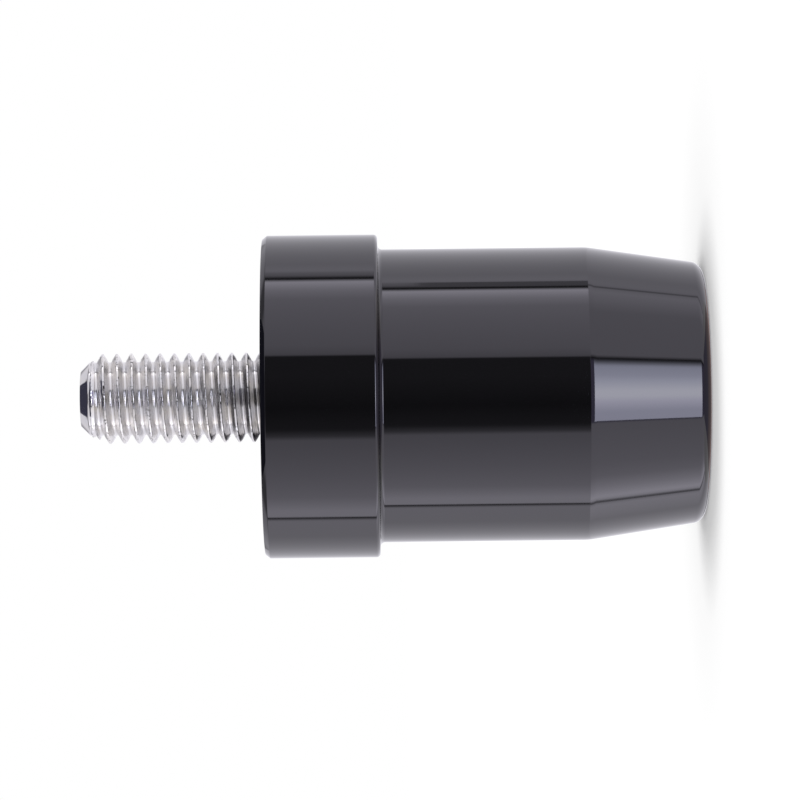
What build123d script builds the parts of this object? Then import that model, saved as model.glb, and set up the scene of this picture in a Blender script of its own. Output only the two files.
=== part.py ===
from build123d import *
import os

# Bar end weight: a turned weight for the open end of a handlebar, and the socket head screw that fixes it.
# All turned faces share the Z axis. The tapered outer end stands at z = 0 and the screw's thread points up.

# Weight: outside, in millimetres
BARREL_DIAMETER = 25.5
BARREL_LENGTH = 18.1
FLANGE_STEP = 1.3
FLANGE_WIDTH = 10.0
NOSE_LENGTH = 10.1
NOSE_TAPER = 1.5

# Weight: turned edges
NOSE_EDGE_RADIUS = 1.1
STEP_FILLET = 0.4
FLANGE_STEP_EDGE_CHAMFER = 0.25
FLANGE_SEAT_EDGE_RADIUS = 0.55
COUNTERBORE_EDGE_CHAMFER = 0.4
BORE_EDGE_CHAMFER = 0.8

# Screw: an M8 socket head cap screw
THREAD_DIAMETER = 8.0
THREAD_PROJECTION = 16.0
THREAD_ENTRY = 0.6
THREAD_TIP_CHAMFER = 1.55
SHANK_RELIEF = 0.4
HEAD_DIAMETER = 13.0
HEAD_HEIGHT = 8.0
HEAD_RIM_CHAMFER = 0.8
UNDER_HEAD_TAPER = 0.3
SOCKET_SIDES = 6
SOCKET_ACROSS_FLATS = 6.0
SOCKET_DEPTH = 4.0
SOCKET_POINT_INSET = 0.3
SOCKET_POINT_DEPTH = 0.8
SOCKET_EDGE_CHAMFER = 0.5

# Fits between the two pieces
BORE_CLEARANCE = 1.0
COUNTERBORE_CLEARANCE = 2.0
HEAD_RECESS = 1.2

# Heights along the axis, from the outer end up
crease_z = NOSE_LENGTH
step_z = crease_z + BARREL_LENGTH
seat_z = step_z + FLANGE_WIDTH
head_seat_z = HEAD_RECESS + HEAD_HEIGHT
thread_start_z = seat_z - THREAD_ENTRY
tip_z = seat_z + THREAD_PROJECTION

# Radii of the weight: the flange stands out from the barrel by its step, and the nose draws in by its taper
barrel_radius = BARREL_DIAMETER / 2
flange_radius = barrel_radius + FLANGE_STEP
nose_radius = barrel_radius - NOSE_TAPER
bore_radius = (THREAD_DIAMETER + BORE_CLEARANCE) / 2
counterbore_radius = (HEAD_DIAMETER + COUNTERBORE_CLEARANCE) / 2


def turned(outline):
    """The solid that an outline of (radius, height) points makes when it is turned about Z."""
    section = Polyline(*[(radius, 0, height) for radius, height in outline], close=True)
    return revolve(make_face(section), Axis.Z)


def edge_ring(solid, radius, height):
    """The round edge of a turned solid that lies nearest to this radius and height."""
    rings = solid.edges().filter_by(GeomType.CIRCLE)
    return min(rings, key=lambda ring: abs(ring.radius - radius) + abs(ring.arc_center.Z - height))


def weight_body():
    """The weight: flange, barrel and tapered nose in one turned piece, bored through for the screw."""
    body = turned(
        [
            (counterbore_radius, 0),
            (nose_radius, 0),
            (barrel_radius, crease_z),
            (barrel_radius, step_z),
            (flange_radius, step_z),
            (flange_radius, seat_z),
            (bore_radius, seat_z),
            (bore_radius, head_seat_z),
            (counterbore_radius, head_seat_z),
        ]
    )
    for radius, height, rounding in (
        (nose_radius, 0, NOSE_EDGE_RADIUS),
        (barrel_radius, step_z, STEP_FILLET),
        (flange_radius, seat_z, FLANGE_SEAT_EDGE_RADIUS),
    ):
        body = fillet(edge_ring(body, radius, height), rounding)
    for radius, height, width in (
        (flange_radius, step_z, FLANGE_STEP_EDGE_CHAMFER),
        (counterbore_radius, 0, COUNTERBORE_EDGE_CHAMFER),
        (bore_radius, seat_z, BORE_EDGE_CHAMFER),
    ):
        body = chamfer(edge_ring(body, radius, height), width)
    return body


def hex_socket():
    """The hollow for the hex key: a six-sided hole with a shallow pointed floor and a countersunk mouth."""
    socket_floor_z = HEAD_RECESS + SOCKET_DEPTH
    flat_radius = SOCKET_ACROSS_FLATS / 2
    half_side_angle = 180 / SOCKET_SIDES
    hexagon = RegularPolygon(flat_radius, SOCKET_SIDES, major_radius=False, rotation=half_side_angle)
    hole = extrude(Pos(0, 0, HEAD_RECESS) * hexagon, SOCKET_DEPTH)
    point_radius = flat_radius - SOCKET_POINT_INSET
    point_z = socket_floor_z + SOCKET_POINT_DEPTH
    point = turned([(0, socket_floor_z), (point_radius, socket_floor_z), (0, point_z)])
    mouth_radius = flat_radius + SOCKET_EDGE_CHAMFER
    mouth = turned([(0, HEAD_RECESS), (mouth_radius, HEAD_RECESS), (0, HEAD_RECESS + mouth_radius)])
    return hole + point + mouth


def mounting_screw():
    """The screw: its head sits at the foot of the counterbore, its thread stands out of the flange."""
    head_radius = HEAD_DIAMETER / 2
    thread_radius = THREAD_DIAMETER / 2
    shank_radius = thread_radius - SHANK_RELIEF
    screw = turned(
        [
            (0, HEAD_RECESS),
            (head_radius, HEAD_RECESS),
            (head_radius, head_seat_z),
            (shank_radius + UNDER_HEAD_TAPER, head_seat_z),
            (shank_radius, head_seat_z + UNDER_HEAD_TAPER),
            (shank_radius, thread_start_z),
            (thread_radius, thread_start_z),
            (thread_radius, tip_z - THREAD_TIP_CHAMFER),
            (thread_radius - THREAD_TIP_CHAMFER, tip_z),
            (0, tip_z),
        ]
    )
    screw = chamfer(edge_ring(screw, head_radius, HEAD_RECESS), HEAD_RIM_CHAMFER)
    return screw - hex_socket()


os.makedirs("parts", exist_ok=True)
export_step(weight_body(), "parts/weight_body.step")
export_step(mounting_screw(), "parts/mounting_screw.step")
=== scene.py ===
import math

import bmesh
import bpy
from mathutils import Matrix, Vector


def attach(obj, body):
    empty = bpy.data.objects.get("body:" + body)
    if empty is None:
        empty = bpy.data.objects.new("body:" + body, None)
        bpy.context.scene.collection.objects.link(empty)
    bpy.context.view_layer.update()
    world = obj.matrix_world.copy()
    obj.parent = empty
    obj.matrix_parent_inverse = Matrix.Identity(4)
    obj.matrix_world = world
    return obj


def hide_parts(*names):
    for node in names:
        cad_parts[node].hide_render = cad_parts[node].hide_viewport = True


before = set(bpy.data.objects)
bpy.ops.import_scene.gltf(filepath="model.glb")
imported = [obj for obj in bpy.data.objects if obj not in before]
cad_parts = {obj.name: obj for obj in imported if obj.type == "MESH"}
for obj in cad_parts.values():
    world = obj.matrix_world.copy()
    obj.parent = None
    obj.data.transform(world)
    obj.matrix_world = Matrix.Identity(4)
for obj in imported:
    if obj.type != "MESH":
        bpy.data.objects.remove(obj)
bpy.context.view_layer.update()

# A bar end weight: a turned, black anodised body and the stainless screw that stands out of its flange.
# Sizes are in millimetres along the turning axis, Z, with the tapered outer end at z = 0.
MM = 0.001

# Body: outside
FLANGE_RADIUS = 14.05
BARREL_RADIUS = 12.75
NOSE_END_RADIUS = 11.25
CREASE_Z = 10.1
STEP_Z = 28.2
SEAT_Z = 38.2

# Body: turned edges
NOSE_EDGE_RADIUS = 1.1
CREASE_RADIUS = 4.0
STEP_FILLET = 0.4
FLANGE_STEP_EDGE_RADIUS = 0.35
SEAT_EDGE_WIDTH = 0.42
SEAT_EDGE_DEPTH = 0.33
SEAT_EDGE_BREAK = 0.08
EDGE_BREAK = 0.1

# Body: bore for the shank and counterbore for the head
BORE_RADIUS = 4.5
BORE_CHAMFER = 0.8
COUNTERBORE_RADIUS = 7.5
COUNTERBORE_CHAMFER = 0.4
COUNTERBORE_FOOT_FILLET = 0.2

# Screw
HEAD_RADIUS = 6.5
HEAD_RIM_RADIUS = 0.8
HEAD_BOTTOM_Z = 1.2
HEAD_SEAT_Z = 9.2
SHANK_RADIUS = 3.6
UNDER_HEAD_TAPER = 0.3
SOCKET_FLAT_RADIUS = 3.0
SOCKET_FLOOR_Z = 5.2
SOCKET_POINT_Z = 6.0
SOCKET_POINT_RADIUS = 2.7
SOCKET_MOUTH_RADIUS = 3.5
SHANK_OVERLAP = 0.3

# Thread: rolled, M8 with a 1.25 mm pitch, so its crests stand just inside the nominal 4 mm.
# The first crest's height is where it passes the +X side, and the lip's band is counted down from the tip.
THREAD_PITCH = 1.25
THREAD_CREST_RADIUS = 3.91
THREAD_ROOT_RADIUS = 3.185
THREAD_CREST_WIDTH = 0.19
THREAD_CREST_ROUNDING = 0.11
THREAD_ROOT_ROUNDING = 0.13
THREAD_FLANK_ANGLE = 30
THREAD_TURNS = 16
THREAD_START_Z = 37.6
THREAD_FIRST_CREST_Z = 38.48
TIP_RADIUS = 2.45
LIP_RADIUS = 3.33
TIP_Z = 54.1
LIP_BAND = (1.15, 0.92)
LIP_BAND_DEPTH = 0.08
BURR_FOOT_RADIUS = 3.8

# Radii between which the dies' polish fades: out of the root, and in again towards the crest
ROOT_POLISH_FADE = (3.28, 3.42)
CREST_POLISH_FADE = (3.7, 3.8)

# Modelling: steps once round, how far a cutting tool runs past the piece, and when places count as one
BODY_STEPS = 256
SCREW_STEPS = 128
CUT_OVERRUN = 0.5
SAME_CORNER = 0.002
MERGE_DISTANCE = 0.0002
SMOOTH_ANGLE = 30


def pick_nothing():
    """Goes back to object mode with nothing selected."""
    if bpy.context.mode != "OBJECT":
        bpy.ops.object.mode_set(mode="OBJECT")
    bpy.ops.object.select_all(action="DESELECT")


def work_on(piece):
    """Makes one piece the selected and active one."""
    pick_nothing()
    piece.select_set(True)
    bpy.context.view_layer.objects.active = piece


def pick_vertices(piece, is_wanted):
    """In edit mode, selects the wanted vertices, by place in millimetres, and the edges between them."""
    bpy.ops.mesh.select_all(action="DESELECT")
    mesh = bmesh.from_edit_mesh(piece.data)
    for vertex in mesh.verts:
        if is_wanted(vertex.co / MM):
            vertex.select_set(True)
    mesh.select_flush(True)
    bmesh.update_edit_mesh(piece.data)


def is_at(radius, height):
    """A test for the outline's vertex at this radius and height."""
    place = Vector((radius, 0, height))
    return lambda co: (co - place).length < SAME_CORNER


def drawn_outline(name, corners, closed):
    """A line through (radius, height, rounding) corners, drawn by extruding a vertex and then rounded."""
    pick_nothing()
    bpy.ops.mesh.primitive_plane_add(size=MM)
    piece = bpy.context.object
    piece.name = name
    bpy.ops.object.mode_set(mode="EDIT")
    bpy.ops.mesh.select_mode(type="VERT")
    bpy.ops.mesh.select_all(action="SELECT")
    bpy.ops.mesh.merge(type="CENTER")
    at = Vector((0, 0, 0))
    for number, (radius, height, _) in enumerate(corners):
        to = Vector((radius, 0, height)) * MM
        if number == 0:
            bpy.ops.transform.translate(value=to - at)
        else:
            bpy.ops.mesh.extrude_region_move(TRANSFORM_OT_translate={"value": to - at})
        at = to
    if closed:
        ends = [is_at(corners[0][0], corners[0][1]), is_at(corners[-1][0], corners[-1][1])]
        pick_vertices(piece, lambda co: ends[0](co) or ends[1](co))
        bpy.ops.mesh.edge_face_add()
    places = [Vector((radius, 0, height)) for radius, height, _ in corners]
    for number, (radius, height, rounding) in enumerate(corners):
        if rounding:
            before = places[number] - places[number - 1]
            after = places[(number + 1) % len(places)] - places[number]
            turn = before.angle(after)
            pick_vertices(piece, is_at(radius, height))
            bpy.ops.mesh.bevel(
                offset=rounding * math.tan(turn / 2) * MM,
                segments=max(2, round(math.degrees(turn) / 12)),
                affect="VERTICES",
            )
    return piece


def close_skin(piece):
    """In edit mode, merges what lies on the same spot and turns the faces outwards."""
    bpy.ops.mesh.select_all(action="SELECT")
    bpy.ops.mesh.remove_doubles(threshold=MERGE_DISTANCE * MM)
    bpy.ops.mesh.normals_make_consistent(inside=False)
    bpy.ops.mesh.select_all(action="DESELECT")
    bpy.ops.object.mode_set(mode="OBJECT")


def turned(name, corners, closed, steps):
    """A piece turned on the lathe: its outline goes once round the Z axis."""
    piece = drawn_outline(name, corners, closed)
    bpy.ops.mesh.select_all(action="SELECT")
    bpy.ops.mesh.spin(steps=steps, angle=math.tau, center=(0, 0, 0), axis=(0, 0, 1))
    close_skin(piece)
    return piece


def apply_modifier(piece, kind, **settings):
    """Adds a modifier with these settings and applies it."""
    work_on(piece)
    modifier = piece.modifiers.new(kind.lower(), kind)
    for setting, value in settings.items():
        setattr(modifier, setting, value)
    bpy.ops.object.modifier_apply(modifier=modifier.name)


def combine(piece, tool, operation):
    """Joins, cuts or trims a piece by a tool, which is used up."""
    apply_modifier(piece, "BOOLEAN", operation=operation, object=tool, solver="EXACT")
    bpy.data.objects.remove(tool)


def smooth(piece):
    """Shades a piece smooth except at sharp edges, with flat faces left flat beside their rounded edges."""
    work_on(piece)
    bpy.ops.object.shade_smooth_by_angle(angle=math.radians(SMOOTH_ANGLE))
    apply_modifier(piece, "WEIGHTED_NORMAL", keep_sharp=True)


# Body, turned from one bar: nose, barrel, step and flange, then in to the bore and down the counterbore
body = turned(
    "turned_body",
    [
        (COUNTERBORE_RADIUS + COUNTERBORE_CHAMFER, 0, EDGE_BREAK),
        (NOSE_END_RADIUS, 0, NOSE_EDGE_RADIUS),
        (BARREL_RADIUS, CREASE_Z, CREASE_RADIUS),
        (BARREL_RADIUS, STEP_Z, STEP_FILLET),
        (FLANGE_RADIUS, STEP_Z, FLANGE_STEP_EDGE_RADIUS),
        (FLANGE_RADIUS, SEAT_Z - SEAT_EDGE_WIDTH, SEAT_EDGE_BREAK),
        (FLANGE_RADIUS - SEAT_EDGE_DEPTH, SEAT_Z, EDGE_BREAK),
        (BORE_RADIUS + BORE_CHAMFER, SEAT_Z, EDGE_BREAK),
        (BORE_RADIUS, SEAT_Z - BORE_CHAMFER, EDGE_BREAK),
        (BORE_RADIUS, HEAD_SEAT_Z, 0),
        (COUNTERBORE_RADIUS, HEAD_SEAT_Z, COUNTERBORE_FOOT_FILLET),
        (COUNTERBORE_RADIUS, COUNTERBORE_CHAMFER, EDGE_BREAK),
    ],
    closed=True,
    steps=BODY_STEPS,
)
smooth(body)


def tip_envelope():
    """What the blank's pointed end leaves of the thread: a cone, a small lip and a run-in to full height."""
    clear_radius = THREAD_CREST_RADIUS + 0.3
    return turned(
        "tip_envelope",
        [
            (0, THREAD_START_Z - 1, 0),
            (clear_radius, THREAD_START_Z - 1, 0),
            (clear_radius, TIP_Z - 2.0, 0),
            (LIP_RADIUS - 0.1, TIP_Z - 1.28, 0.05),
            (LIP_RADIUS - 0.02, TIP_Z - 1.12, 0.1),
            (LIP_RADIUS, TIP_Z - 1.01, 0.03),
            (LIP_RADIUS - 0.13, TIP_Z - 0.88, 0),
            (LIP_RADIUS - 0.14, TIP_Z - 0.74, 0.2),
            (TIP_RADIUS, TIP_Z, 0.05),
            (0, TIP_Z, 0),
        ],
        closed=False,
        steps=SCREW_STEPS,
    )


def burred(thread):
    """Tears the crests and the lip at the tip a little, as rolling leaves them."""
    burrs = bpy.data.textures.new("crest_burrs", "CLOUDS")
    burrs.noise_scale = 0.18 * MM
    burrs.noise_depth = 2
    edges = thread.vertex_groups.new(name="burred_edges")
    for vertex in thread.data.vertices:
        radius = vertex.co.xy.length / MM
        below_tip = TIP_Z - vertex.co.z / MM
        at_lip = LIP_BAND[1] < below_tip < LIP_BAND[0] and radius > LIP_RADIUS - LIP_BAND_DEPTH
        up_crest = (radius - BURR_FOOT_RADIUS) / (THREAD_CREST_RADIUS - BURR_FOOT_RADIUS)
        height = 1 if at_lip else up_crest / 2
        if height > 0:
            edges.add([vertex.index], min(height, 1), "REPLACE")
    apply_modifier(
        thread,
        "DISPLACE",
        texture=burrs,
        texture_coords="LOCAL",
        vertex_group="burred_edges",
        strength=-0.12 * MM,
        mid_level=0.45,
    )


def rolled_thread():
    """The threaded end: one pitch of outline screwed up the axis, trimmed at both ends and burred."""
    flank = (THREAD_CREST_RADIUS - THREAD_ROOT_RADIUS) * math.tan(math.radians(THREAD_FLANK_ANGLE))
    root = THREAD_PITCH - 2 * flank - THREAD_CREST_WIDTH
    low = THREAD_FIRST_CREST_Z - THREAD_PITCH * 2.5
    crest_start = low + root / 2 + flank
    crest_end = crest_start + THREAD_CREST_WIDTH
    thread = drawn_outline(
        "rolled_screw",
        [
            (THREAD_ROOT_RADIUS, low, 0),
            (THREAD_ROOT_RADIUS, low + root / 2, THREAD_ROOT_ROUNDING),
            (THREAD_CREST_RADIUS, crest_start, THREAD_CREST_ROUNDING),
            (THREAD_CREST_RADIUS, crest_end, THREAD_CREST_ROUNDING),
            (THREAD_ROOT_RADIUS, crest_end + flank, THREAD_ROOT_ROUNDING),
            (THREAD_ROOT_RADIUS, low + THREAD_PITCH, 0),
        ],
        closed=False,
    )
    bpy.ops.object.mode_set(mode="OBJECT")
    apply_modifier(
        thread,
        "SCREW",
        axis="Z",
        angle=math.tau,
        screw_offset=THREAD_PITCH * MM,
        iterations=THREAD_TURNS,
        steps=SCREW_STEPS,
        render_steps=SCREW_STEPS,
    )
    bpy.ops.object.mode_set(mode="EDIT")
    close_skin(thread)
    work_on(thread)
    bpy.ops.object.mode_set(mode="EDIT")
    for height, side in ((THREAD_START_Z, -1), (TIP_Z, 1)):
        bpy.ops.mesh.select_all(action="SELECT")
        bpy.ops.mesh.bisect(
            plane_co=(0, 0, height * MM),
            plane_no=(0, 0, side),
            use_fill=True,
            clear_outer=True,
            threshold=MERGE_DISTANCE / 2 * MM,
        )
    close_skin(thread)
    combine(thread, tip_envelope(), "INTERSECT")
    burred(thread)
    return thread


def hex_key_hole():
    """What a hex key needs: a six-sided hole with a pointed floor and a countersunk mouth."""
    corner_radius = SOCKET_FLAT_RADIUS / math.cos(math.pi / 6)
    hole_bottom = HEAD_BOTTOM_Z - 2 * CUT_OVERRUN
    pick_nothing()
    bpy.ops.mesh.primitive_cylinder_add(
        vertices=6,
        radius=corner_radius * MM,
        depth=(SOCKET_FLOOR_Z - hole_bottom) * MM,
        location=(0, 0, (SOCKET_FLOOR_Z + hole_bottom) / 2 * MM),
    )
    hole = bpy.context.object
    bpy.ops.object.transform_apply(location=True)
    point = turned(
        "socket_point",
        [
            (0, SOCKET_FLOOR_Z - CUT_OVERRUN, 0),
            (SOCKET_POINT_RADIUS, SOCKET_FLOOR_Z - CUT_OVERRUN, 0),
            (SOCKET_POINT_RADIUS, SOCKET_FLOOR_Z, 0),
            (0, SOCKET_POINT_Z, 0),
        ],
        closed=False,
        steps=48,
    )
    combine(hole, point, "UNION")
    # 98 steps keep the mouth's lines off the six corners, so that the cut stays clean
    mouth = turned(
        "socket_mouth",
        [
            (0, HEAD_BOTTOM_Z - CUT_OVERRUN, 0),
            (SOCKET_MOUTH_RADIUS + CUT_OVERRUN, HEAD_BOTTOM_Z - CUT_OVERRUN, 0),
            (0, HEAD_BOTTOM_Z + SOCKET_MOUTH_RADIUS, 0),
        ],
        closed=False,
        steps=98,
    )
    combine(hole, mouth, "UNION")
    return hole


# Screw: the socket is cut into the head, then shank and head join the threaded end
shank_and_head = turned(
    "shank_and_head",
    [
        (0, HEAD_BOTTOM_Z, 0),
        (HEAD_RADIUS, HEAD_BOTTOM_Z, HEAD_RIM_RADIUS),
        (HEAD_RADIUS, HEAD_SEAT_Z, EDGE_BREAK),
        (SHANK_RADIUS + UNDER_HEAD_TAPER, HEAD_SEAT_Z, 0),
        (SHANK_RADIUS, HEAD_SEAT_Z + UNDER_HEAD_TAPER, 0),
        (SHANK_RADIUS, THREAD_START_Z + SHANK_OVERLAP, 0),
        (0, THREAD_START_Z + SHANK_OVERLAP, 0),
    ],
    closed=False,
    steps=SCREW_STEPS,
)
combine(shank_and_head, hex_key_hole(), "DIFFERENCE")
screw = rolled_thread()
combine(screw, shank_and_head, "UNION")
smooth(screw)


def linear(hex_colour):
    """An sRGB hex colour as linear red, green, blue and alpha."""
    channels = [int(hex_colour[place:place + 2], 16) / 255 for place in (1, 3, 5)]
    return [c / 12.92 if c <= 0.04045 else ((c + 0.055) / 1.055) ** 2.4 for c in channels] + [1.0]


def new_material(name):
    """An empty node material and its tree."""
    material = bpy.data.materials.new(name)
    material.use_nodes = True
    material.node_tree.nodes.clear()
    return material, material.node_tree


def add_node(tree, kind, inputs=(), **settings):
    """Adds a node, with its settings, and gives its inputs their values or links."""
    node = tree.nodes.new("ShaderNode" + kind)
    for setting, value in settings.items():
        setattr(node, setting, value)
    for socket, value in dict(inputs).items():
        if isinstance(value, bpy.types.NodeSocket):
            tree.links.new(value, node.inputs[socket])
        else:
            node.inputs[socket].default_value = value
    return node


def set_ramp(ramp_node, stops):
    """Gives a colour ramp these (position, grey level or colour) stops."""
    ramp = ramp_node.color_ramp
    while len(ramp.elements) < len(stops):
        ramp.elements.new(0.5)
    for element, (position, colour) in zip(ramp.elements, stops):
        element.position = position
        element.color = colour if isinstance(colour, (list, tuple)) else (colour, colour, colour, 1)


def black_anodised_aluminium():
    """Aluminium turned bright, anodised, dyed black and sealed: a hard, glassy skin over deep black.

    The eye gets a clear, slightly violet mirror image of the room, with a fine trace of turning rings.
    """
    material, tree = new_material("black_anodised_aluminium")
    place = add_node(tree, "TexCoord").outputs["Object"]
    axes = add_node(tree, "SeparateXYZ", {0: place})
    across = add_node(tree, "CombineXYZ", {"X": axes.outputs["X"], "Y": axes.outputs["Y"]})
    radius = add_node(tree, "VectorMath", {0: across.outputs[0]}, operation="LENGTH")
    rings = add_node(tree, "CombineXYZ", {"X": radius.outputs["Value"], "Y": axes.outputs["Z"]})
    # Feed marks are about 0.05 mm apart; they are drawn at about 0.25 mm so that they show at all
    feed = add_node(
        tree, "TexNoise", {"Vector": rings.outputs[0], "Scale": 1 / (0.25 * MM), "Detail": 2.0}
    )
    bump = add_node(
        tree, "Bump", {"Strength": 0.05, "Distance": 0.004 * MM, "Height": feed.outputs["Fac"]}
    )
    # Handling leaves faint, broad changes in the gloss, some 6 mm across
    haze = add_node(tree, "TexNoise", {"Vector": place, "Scale": 1 / (6 * MM), "Detail": 4.0})
    gloss = add_node(
        tree,
        "MapRange",
        {
            "Value": haze.outputs["Fac"],
            "From Min": 0.3,
            "From Max": 0.7,
            "To Min": 0.03,
            "To Max": 0.055,
        },
    )
    dye = add_node(
        tree,
        "Mix",
        {"Factor": haze.outputs["Fac"], "A": linear("#060607"), "B": linear("#08080a")},
        data_type="RGBA",
    )
    shader = add_node(
        tree,
        "BsdfPrincipled",
        {
            "Base Color": dye.outputs["Result"],
            "Roughness": gloss.outputs["Result"],
            "IOR": 1.68,
            "Specular Tint": linear("#f8f5ff"),
            "Normal": bump.outputs["Normal"],
        },
    )
    add_node(tree, "OutputMaterial", {"Surface": shader.outputs["BSDF"]})
    return material


def stainless_steel():
    """Stainless steel, thread-rolled: burnished flanks and roots with faint warm and violet stains.

    The eye gets bright lines along roots and crests, grey flanks between and painted shade in the torn
    crests: dark specks that stand in for the shade in their crevices.
    """
    material, tree = new_material("rolled_stainless_steel")
    place = add_node(tree, "TexCoord").outputs["Object"]
    axes = add_node(tree, "SeparateXYZ", {0: place})
    across = add_node(tree, "CombineXYZ", {"X": axes.outputs["X"], "Y": axes.outputs["Y"]})
    radius = add_node(tree, "VectorMath", {0: across.outputs[0]}, operation="LENGTH")
    # Stains are about 1.5 mm across
    stain = add_node(tree, "TexNoise", {"Vector": place, "Scale": 1 / (1.5 * MM), "Detail": 3.0})
    tint = add_node(tree, "ValToRGB", {"Fac": stain.outputs["Fac"]})
    set_ramp(tint, [(0.3, linear("#d5d5d6")), (0.5, linear("#d8d6d5")), (0.7, linear("#dad7d1"))])
    # Painted shade: dark specks about 0.2 mm long along the torn crests, standing in for the shade in their
    # crevices
    torn = add_node(tree, "TexNoise", {"Vector": place, "Scale": 1 / (0.16 * MM), "Detail": 2.0})
    torn_spots = add_node(
        tree,
        "MapRange",
        {"Value": torn.outputs["Fac"], "From Min": 0.6, "From Max": 0.68},
    )
    at_crest = add_node(
        tree,
        "MapRange",
        {
            "Value": radius.outputs["Value"],
            "From Min": CREST_POLISH_FADE[0] * MM,
            "From Max": CREST_POLISH_FADE[1] * MM,
        },
    )
    # Painted shade: where the torn specks meet the crests, the steel's colour is darkened towards a dark
    # grey
    torn_crest_shade = add_node(
        tree,
        "Math",
        {0: torn_spots.outputs["Result"], 1: at_crest.outputs["Result"]},
        operation="MULTIPLY",
    )
    colour = add_node(
        tree,
        "Mix",
        {"Factor": torn_crest_shade.outputs["Value"], "A": tint.outputs["Color"], "B": linear("#3a3735")},
        data_type="RGBA",
    )
    # Rolling drags fine lines round the thread, about 0.05 mm apart and drawn a little wider
    lines = add_node(tree, "CombineXYZ", {"X": radius.outputs["Value"], "Y": axes.outputs["Z"]})
    drag = add_node(
        tree, "TexNoise", {"Vector": lines.outputs[0], "Scale": 1 / (0.09 * MM), "Detail": 2.0}
    )
    bump = add_node(
        tree, "Bump", {"Strength": 0.15, "Distance": 0.008 * MM, "Height": drag.outputs["Fac"]}
    )
    # The dies burnish roots and crests, and leave the flanks satin along the same lines
    polish = add_node(
        tree,
        "MapRange",
        {
            "Value": stain.outputs["Fac"],
            "From Min": 0.3,
            "From Max": 0.7,
            "To Min": 0.07,
            "To Max": 0.12,
        },
    )
    above_root = add_node(
        tree,
        "MapRange",
        {
            "Value": radius.outputs["Value"],
            "From Min": ROOT_POLISH_FADE[0] * MM,
            "From Max": ROOT_POLISH_FADE[1] * MM,
        },
    )
    on_flank = add_node(
        tree,
        "Math",
        {0: above_root.outputs["Result"], 1: at_crest.outputs["Result"]},
        operation="SUBTRACT",
        use_clamp=True,
    )
    satin = add_node(
        tree,
        "MapRange",
        {
            "Value": drag.outputs["Fac"],
            "From Min": 0.35,
            "From Max": 0.65,
            "To Min": 0.08,
            "To Max": 0.28,
        },
    )
    roughness = add_node(
        tree,
        "Math",
        {0: satin.outputs["Result"], 1: on_flank.outputs["Value"], 2: polish.outputs["Result"]},
        operation="MULTIPLY_ADD",
    )
    shader = add_node(
        tree,
        "BsdfPrincipled",
        {
            "Base Color": colour.outputs["Result"],
            "Metallic": 1.0,
            "Roughness": roughness.outputs["Value"],
            "Normal": bump.outputs["Normal"],
        },
    )
    add_node(tree, "OutputMaterial", {"Surface": shader.outputs["BSDF"]})
    return material


for piece, node, slot, material in (
    (body, "weight_body", "black_anodised_aluminium", black_anodised_aluminium()),
    (screw, "mounting_screw", "stainless_steel", stainless_steel()),
):
    piece.data.materials.clear()
    piece.data.materials.append(material)
    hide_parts(node)
    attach(piece, "root")


# Studio: a white floor, and round it wide rings and cards of lit cloth that only the gloss sees.
# Angles round the turning axis count from the lens, with + towards X; angles up count towards Z.
FLOOR_PAINT = 0.8
FLOOR_WHITE = 1.06
ROOM_LEVEL = 0.6
LAMP_LEVEL = 0.4
CLOTH_TINT = (0.97, 0.955, 1.03)
PEAK = 6.0
RING_RADIUS = 2.0
CARD_DISTANCE = 1.6
LOW_CLOTH_TOP = -4.3
SIDE_CLOTH_TOP = 18
LOW_CLOTH_FOOT = -45


def seen_directly(tree):
    """1 for what is looked at, also in gloss or through glass, and 0 for the light that falls on things."""
    ray = add_node(tree, "LightPath").outputs
    seen = add_node(tree, "Math", {0: ray["Is Camera Ray"], 1: ray["Is Glossy Ray"]}, operation="ADD")
    seen = add_node(
        tree,
        "Math",
        {0: seen.outputs[0], 1: ray["Is Transmission Ray"]},
        operation="ADD",
        use_clamp=True,
    )
    return seen.outputs[0]


def floor_paint():
    """White floor that takes the object's shadow and is otherwise as white as the room behind it."""
    material, tree = new_material("white_floor")
    added_white = FLOOR_WHITE - FLOOR_PAINT
    level = add_node(tree, "Math", {0: seen_directly(tree), 1: added_white}, operation="MULTIPLY")
    glow = add_node(tree, "Emission", {"Strength": level.outputs[0]})
    paint = add_node(tree, "BsdfDiffuse", {"Color": (FLOOR_PAINT, FLOOR_PAINT, FLOOR_PAINT, 1)})
    both = add_node(tree, "AddShader", {0: glow.outputs[0], 1: paint.outputs[0]})
    add_node(tree, "OutputMaterial", {"Surface": both.outputs[0]})
    return material


def lit_cloth(name, stops):
    """Cloth whose light changes round the turning axis, by (degrees from the lens, level or colour)."""
    material, tree = new_material(name)
    place = add_node(tree, "TexCoord").outputs["Object"]
    turn = add_node(tree, "Mapping", {"Vector": place, "Rotation": (0, 0, math.radians(90))})
    round_axis = add_node(tree, "TexGradient", {"Vector": turn.outputs[0]}, gradient_type="RADIAL")
    level = add_node(tree, "ValToRGB", {"Fac": round_axis.outputs["Fac"]})
    shades = []
    for degrees, light in stops:
        colour = light if isinstance(light, tuple) else [light * channel for channel in CLOTH_TINT]
        shades.append(((degrees + 180) / 360, tuple(channel / PEAK for channel in colour) + (1,)))
    set_ramp(level, shades)
    glow = add_node(tree, "Emission", {"Color": level.outputs["Color"], "Strength": PEAK})
    add_node(tree, "OutputMaterial", {"Surface": glow.outputs[0]})
    material.cycles.emission_sampling = "NONE"
    return material


def even_cloth(name, light):
    """Cloth of one light level or colour all over."""
    return lit_cloth(name, [(-180, light), (180, light)])


def only_in_reflections(card):
    """The card shapes what the gloss mirrors, and neither shows, lights the floor nor casts a shadow."""
    card.visible_camera = False
    card.visible_diffuse = False
    card.visible_transmission = False
    card.visible_volume_scatter = False
    card.visible_shadow = False


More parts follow.
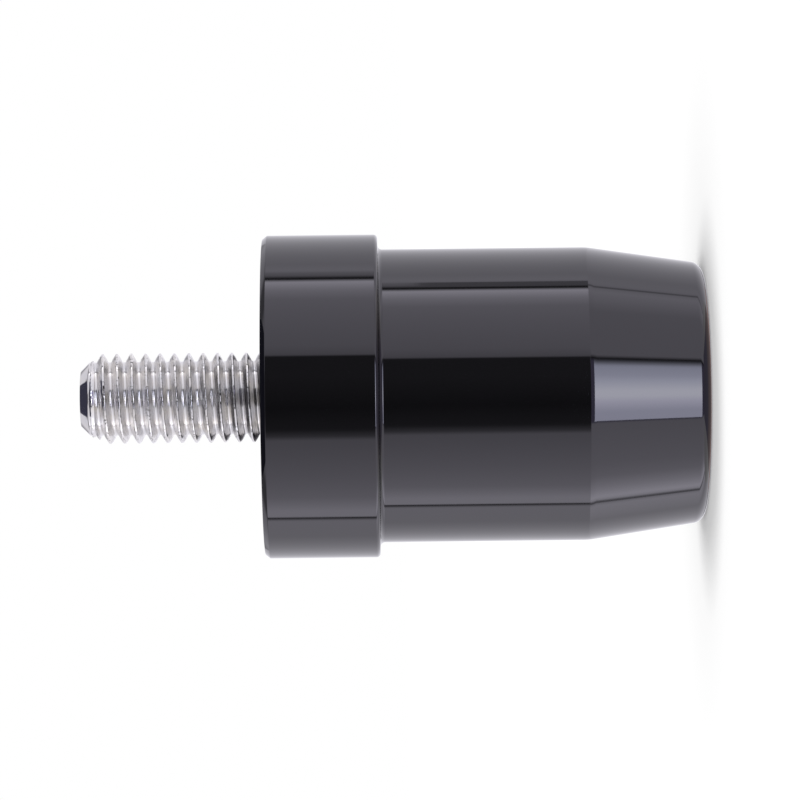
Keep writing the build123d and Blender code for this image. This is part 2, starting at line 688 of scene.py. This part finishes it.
def ring_of_cloth(name, up, cloth):
    """A round wall of cloth between two angles up, in degrees."""
    low, high = [RING_RADIUS * math.tan(math.radians(angle)) for angle in up]
    pick_nothing()
    bpy.ops.mesh.primitive_cylinder_add(
        vertices=180,
        radius=RING_RADIUS,
        depth=high - low,
        end_fill_type="NOTHING",
        location=(0, 0, (low + high) / 2),
    )
    ring = bpy.context.object
    ring.name = name
    bpy.ops.object.transform_apply(location=True)
    ring.data.materials.append(cloth)
    only_in_reflections(ring)


def level_card(name, across, along, height, cloth):
    """A level card between two places along X and two along Y, in metres."""
    pick_nothing()
    bpy.ops.mesh.primitive_plane_add(size=1)
    card = bpy.context.object
    card.name = name
    bpy.ops.object.mode_set(mode="EDIT")
    bpy.ops.mesh.select_all(action="SELECT")
    bpy.ops.transform.resize(value=(across[1] - across[0], along[1] - along[0], 1))
    bpy.ops.transform.translate(value=(sum(across) / 2, sum(along) / 2, height))
    bpy.ops.object.mode_set(mode="OBJECT")
    card.data.materials.append(cloth)
    only_in_reflections(card)
    return card


def upright_card(name, facing, across, up, cloth):
    """An upright card facing the object from one side, between two angles across and two up, in degrees."""
    left, right = [CARD_DISTANCE * math.tan(math.radians(angle)) for angle in across]
    low, high = [CARD_DISTANCE * math.tan(math.radians(angle)) for angle in up]
    card = level_card(name, (left, right), (low, high), CARD_DISTANCE, cloth)
    work_on(card)
    bpy.ops.object.mode_set(mode="EDIT")
    bpy.ops.mesh.select_all(action="SELECT")
    bpy.ops.transform.rotate(value=math.radians(-90), orient_axis="X", center_override=(0, 0, 0))
    bpy.ops.transform.rotate(value=math.radians(-facing), orient_axis="Z", center_override=(0, 0, 0))
    bpy.ops.object.mode_set(mode="OBJECT")


pick_nothing()
bpy.ops.mesh.primitive_plane_add(size=8, location=(0, 0, -0.00001))
floor = bpy.context.object
floor.name = "studio_floor"
floor.data.materials.append(floor_paint())
floor.visible_glossy = False

# The ring at the object's height: each side grows brighter up to a thin dark seam, and is white behind
ring_of_cloth(
    "side_cloth",
    (LOW_CLOTH_TOP, SIDE_CLOTH_TOP),
    lit_cloth(
        "side_cloth_white",
        [
            (-180, 1.0),
            (-118, 1.0),
            (-99, 1.4),
            (-97.4, 1.2),
            (-96.6, 0.1),
            (-95.3, 0.1),
            (-94.6, 1.85),
            (-88, 1.95),
            (-76, 1.4),
            (-58, 1.15),
            (-31, 0.85),
            (31, 0.85),
            (36, 1.0),
            (62, 1.2),
            (73, 1.3),
            (81, 1.75),
            (89, 2.65),
            (91.2, 0.1),
            (93.2, 0.1),
            (94.8, 0.8),
            (98, 0.95),
            (100.3, 1.3),
            (108, 1.05),
            (118, 1.0),
            (180, 1.0),
        ],
    ),
)
# A grey strip beyond the upper seam, low enough that the barrel alone mirrors it
upright_card("side_strip", 96.2, (-2.6, 2.6), (LOW_CLOTH_TOP, 0.3), even_cloth("side_strip_grey", 0.5))

# The ring above is white in front of the object and greyer behind it, and the ceiling is dark
ring_of_cloth(
    "upper_cloth",
    (SIDE_CLOTH_TOP, 60),
    lit_cloth(
        "upper_cloth_white",
        [
            (-180, 0.35),
            (-162, 0.35),
            (-150, 0.9),
            (-124, 0.9),
            (-116, 0.3),
            (-98, 0.3),
            (-85, 0.85),
            (85, 0.85),
            (98, 0.3),
            (116, 0.3),
            (124, 0.9),
            (150, 0.9),
            (162, 0.35),
            (180, 0.35),
        ],
    ),
)
level_card(
    "overhead_flag",
    (-RING_RADIUS, RING_RADIUS),
    (-RING_RADIUS, RING_RADIUS),
    RING_RADIUS * math.tan(math.radians(60)),
    even_cloth("overhead_flag_black", (0.05, 0.05, 0.08)),
)

# A dark flag high in front, with soft sides, which the thread's flanks mirror along the middle
upright_card(
    "front_flag",
    0,
    (-27, 27),
    (30, 60),
    lit_cloth(
        "front_flag_dark",
        [(-180, 0.9), (-27, 0.9), (-17, 0.25), (17, 0.25), (27, 0.9), (180, 0.9)],
    ),
)

# The ring below: what the tapered nose mirrors, with a dark gap in front. Under the object, a card dark in
# front and brown behind is painted shade: seen only in the gloss, it stands in for the floor's shade round
# the nose's foot, which the nose's rim mirrors.
ring_of_cloth(
    "low_cloth",
    (LOW_CLOTH_FOOT, LOW_CLOTH_TOP),
    lit_cloth(
        "low_cloth_white",
        [
            (-180, 1.1),
            (-120, 1.1),
            (-101, 1.9),
            (-97.6, 1.5),
            (-97, 0.4),
            (-96, 0.4),
            (-95, 2.0),
            (-91, 2.8),
            (-80, 2.0),
            (-70, 1.45),
            (-58, 1.25),
            (-24, 1.05),
            (-22.4, (0.36, 0.33, 0.5)),
            (26, (0.36, 0.33, 0.5)),
            (27.4, 0.06),
            (29, 0.06),
            (30, 1.05),
            (69, 1.05),
            (80, 1.3),
            (88.8, 1.45),
            (93.2, 1.2),
            (93.8, 0.45),
            (94.7, 0.45),
            (95.4, 1.15),
            (98, 1.25),
            (108, 1.05),
            (180, 1.1),
        ],
    ),
)
# Painted shade below the object, in place of the shaded floor that the gloss doesn't see
level_card(
    "painted_floor_shade",
    (-0.9, 1.25),
    (-RING_RADIUS, RING_RADIUS),
    RING_RADIUS * math.tan(math.radians(LOW_CLOTH_FOOT)),
    lit_cloth(
        "painted_floor_shade_dark_brown",
        [
            (-180, (0.52, 0.42, 0.42)),
            (-120, (0.52, 0.42, 0.42)),
            (-80, (0.36, 0.34, 0.44)),
            (80, (0.36, 0.34, 0.44)),
            (120, (0.52, 0.42, 0.42)),
            (180, (0.52, 0.42, 0.42)),
        ],
    ),
)
upright_card(
    "warm_end_behind",
    178,
    (-17, 17),
    (LOW_CLOTH_FOOT, -29),
    even_cloth("warm_end_brown", (0.75, 0.5, 0.44)),
)

# A grey wall low behind the object, which the thread's flanks mirror at their edges
upright_card("grey_wall_behind", 180, (-14, 14), (-28, -14), even_cloth("wall_grey", 0.4))

# In front: the dark opening for the lens, and a cool lamp face below it
upright_card(
    "lens_opening",
    0,
    (-31, 30.6),
    (LOW_CLOTH_TOP, SIDE_CLOTH_TOP),
    lit_cloth(
        "lens_opening_black",
        [
            (-180, 0.85),
            (-31, 0.85),
            (-28, 0.35),
            (-23.5, 0.1),
            (-8, 0.05),
            (14, 0.1),
            (28.2, 0.1),
            (29.5, 0.8),
            (180, 0.8),
        ],
    ),
)
upright_card(
    "lower_lamp_face",
    0,
    (-22.2, 28),
    (-28, -13),
    lit_cloth(
        "lower_lamp_cool",
        [
            (-180, (2.75, 2.85, 3.4)),
            (-15, (3.25, 3.35, 3.95)),
            (-7, (4.4, 4.45, 5.1)),
            (-2.5, (5.2, 5.35, 5.75)),
            (2, (5.2, 5.35, 5.75)),
            (10, (4.0, 4.2, 4.8)),
            (14, (3.35, 3.5, 4.1)),
            (22, (2.8, 2.95, 3.5)),
            (24.5, (1.2, 1.25, 1.45)),
            (27.4, 0.06),
            (180, 0.06),
        ],
    ),
)

world = bpy.data.worlds.new("white_room")
world.use_nodes = True
world.node_tree.nodes.clear()
sky_tree = world.node_tree
level = add_node(
    sky_tree, "MapRange", {"Value": seen_directly(sky_tree), "To Min": ROOM_LEVEL, "To Max": 1.0}
)
sky = add_node(sky_tree, "Background", {"Color": (1, 1, 1, 1), "Strength": level.outputs["Result"]})
add_node(sky_tree, "OutputWorld", {"Surface": sky.outputs[0]})
bpy.context.scene.world = world

pick_nothing()
bpy.ops.object.light_add(type="SUN", location=(0.1, -0.1, 0.6))
lamp = bpy.context.object
lamp.name = "soft_overhead_lamp"
lamp.data.energy = LAMP_LEVEL * math.pi
lamp.data.angle = math.radians(14)
lamp.rotation_euler = (math.radians(-9), math.radians(2), 0)
lamp.visible_glossy = False

# Camera: beside the weight, almost square to its axis, and turned so that the thread points to the left
CAMERA_DISTANCE = 366.0
CAMERA_CENTRE = Vector((-0.38, 0, 26.37))
CAMERA_YAW = math.radians(-0.3)
CAMERA_ROLL = math.radians(-0.65)
pick_nothing()
bpy.ops.object.camera_add()
camera = bpy.context.object
camera.name = "photo_camera"
camera.data.lens = 189.0
camera.data.sensor_width = 36.0
camera.data.clip_start = 0.01
axes = Matrix(((0, 1, 0), (0, 0, -1), (-1, 0, 0))).to_4x4()
roll = Matrix.Rotation(CAMERA_ROLL, 4, "Z")
yaw = Matrix.Rotation(CAMERA_YAW, 4, "X")
back = Matrix.Translation((0, -CAMERA_DISTANCE * MM, 0))
camera.matrix_world = Matrix.Translation(CAMERA_CENTRE * MM) @ yaw @ back @ axes @ roll
bpy.context.scene.camera = camera

bpy.context.scene.view_settings.view_transform = "Standard"
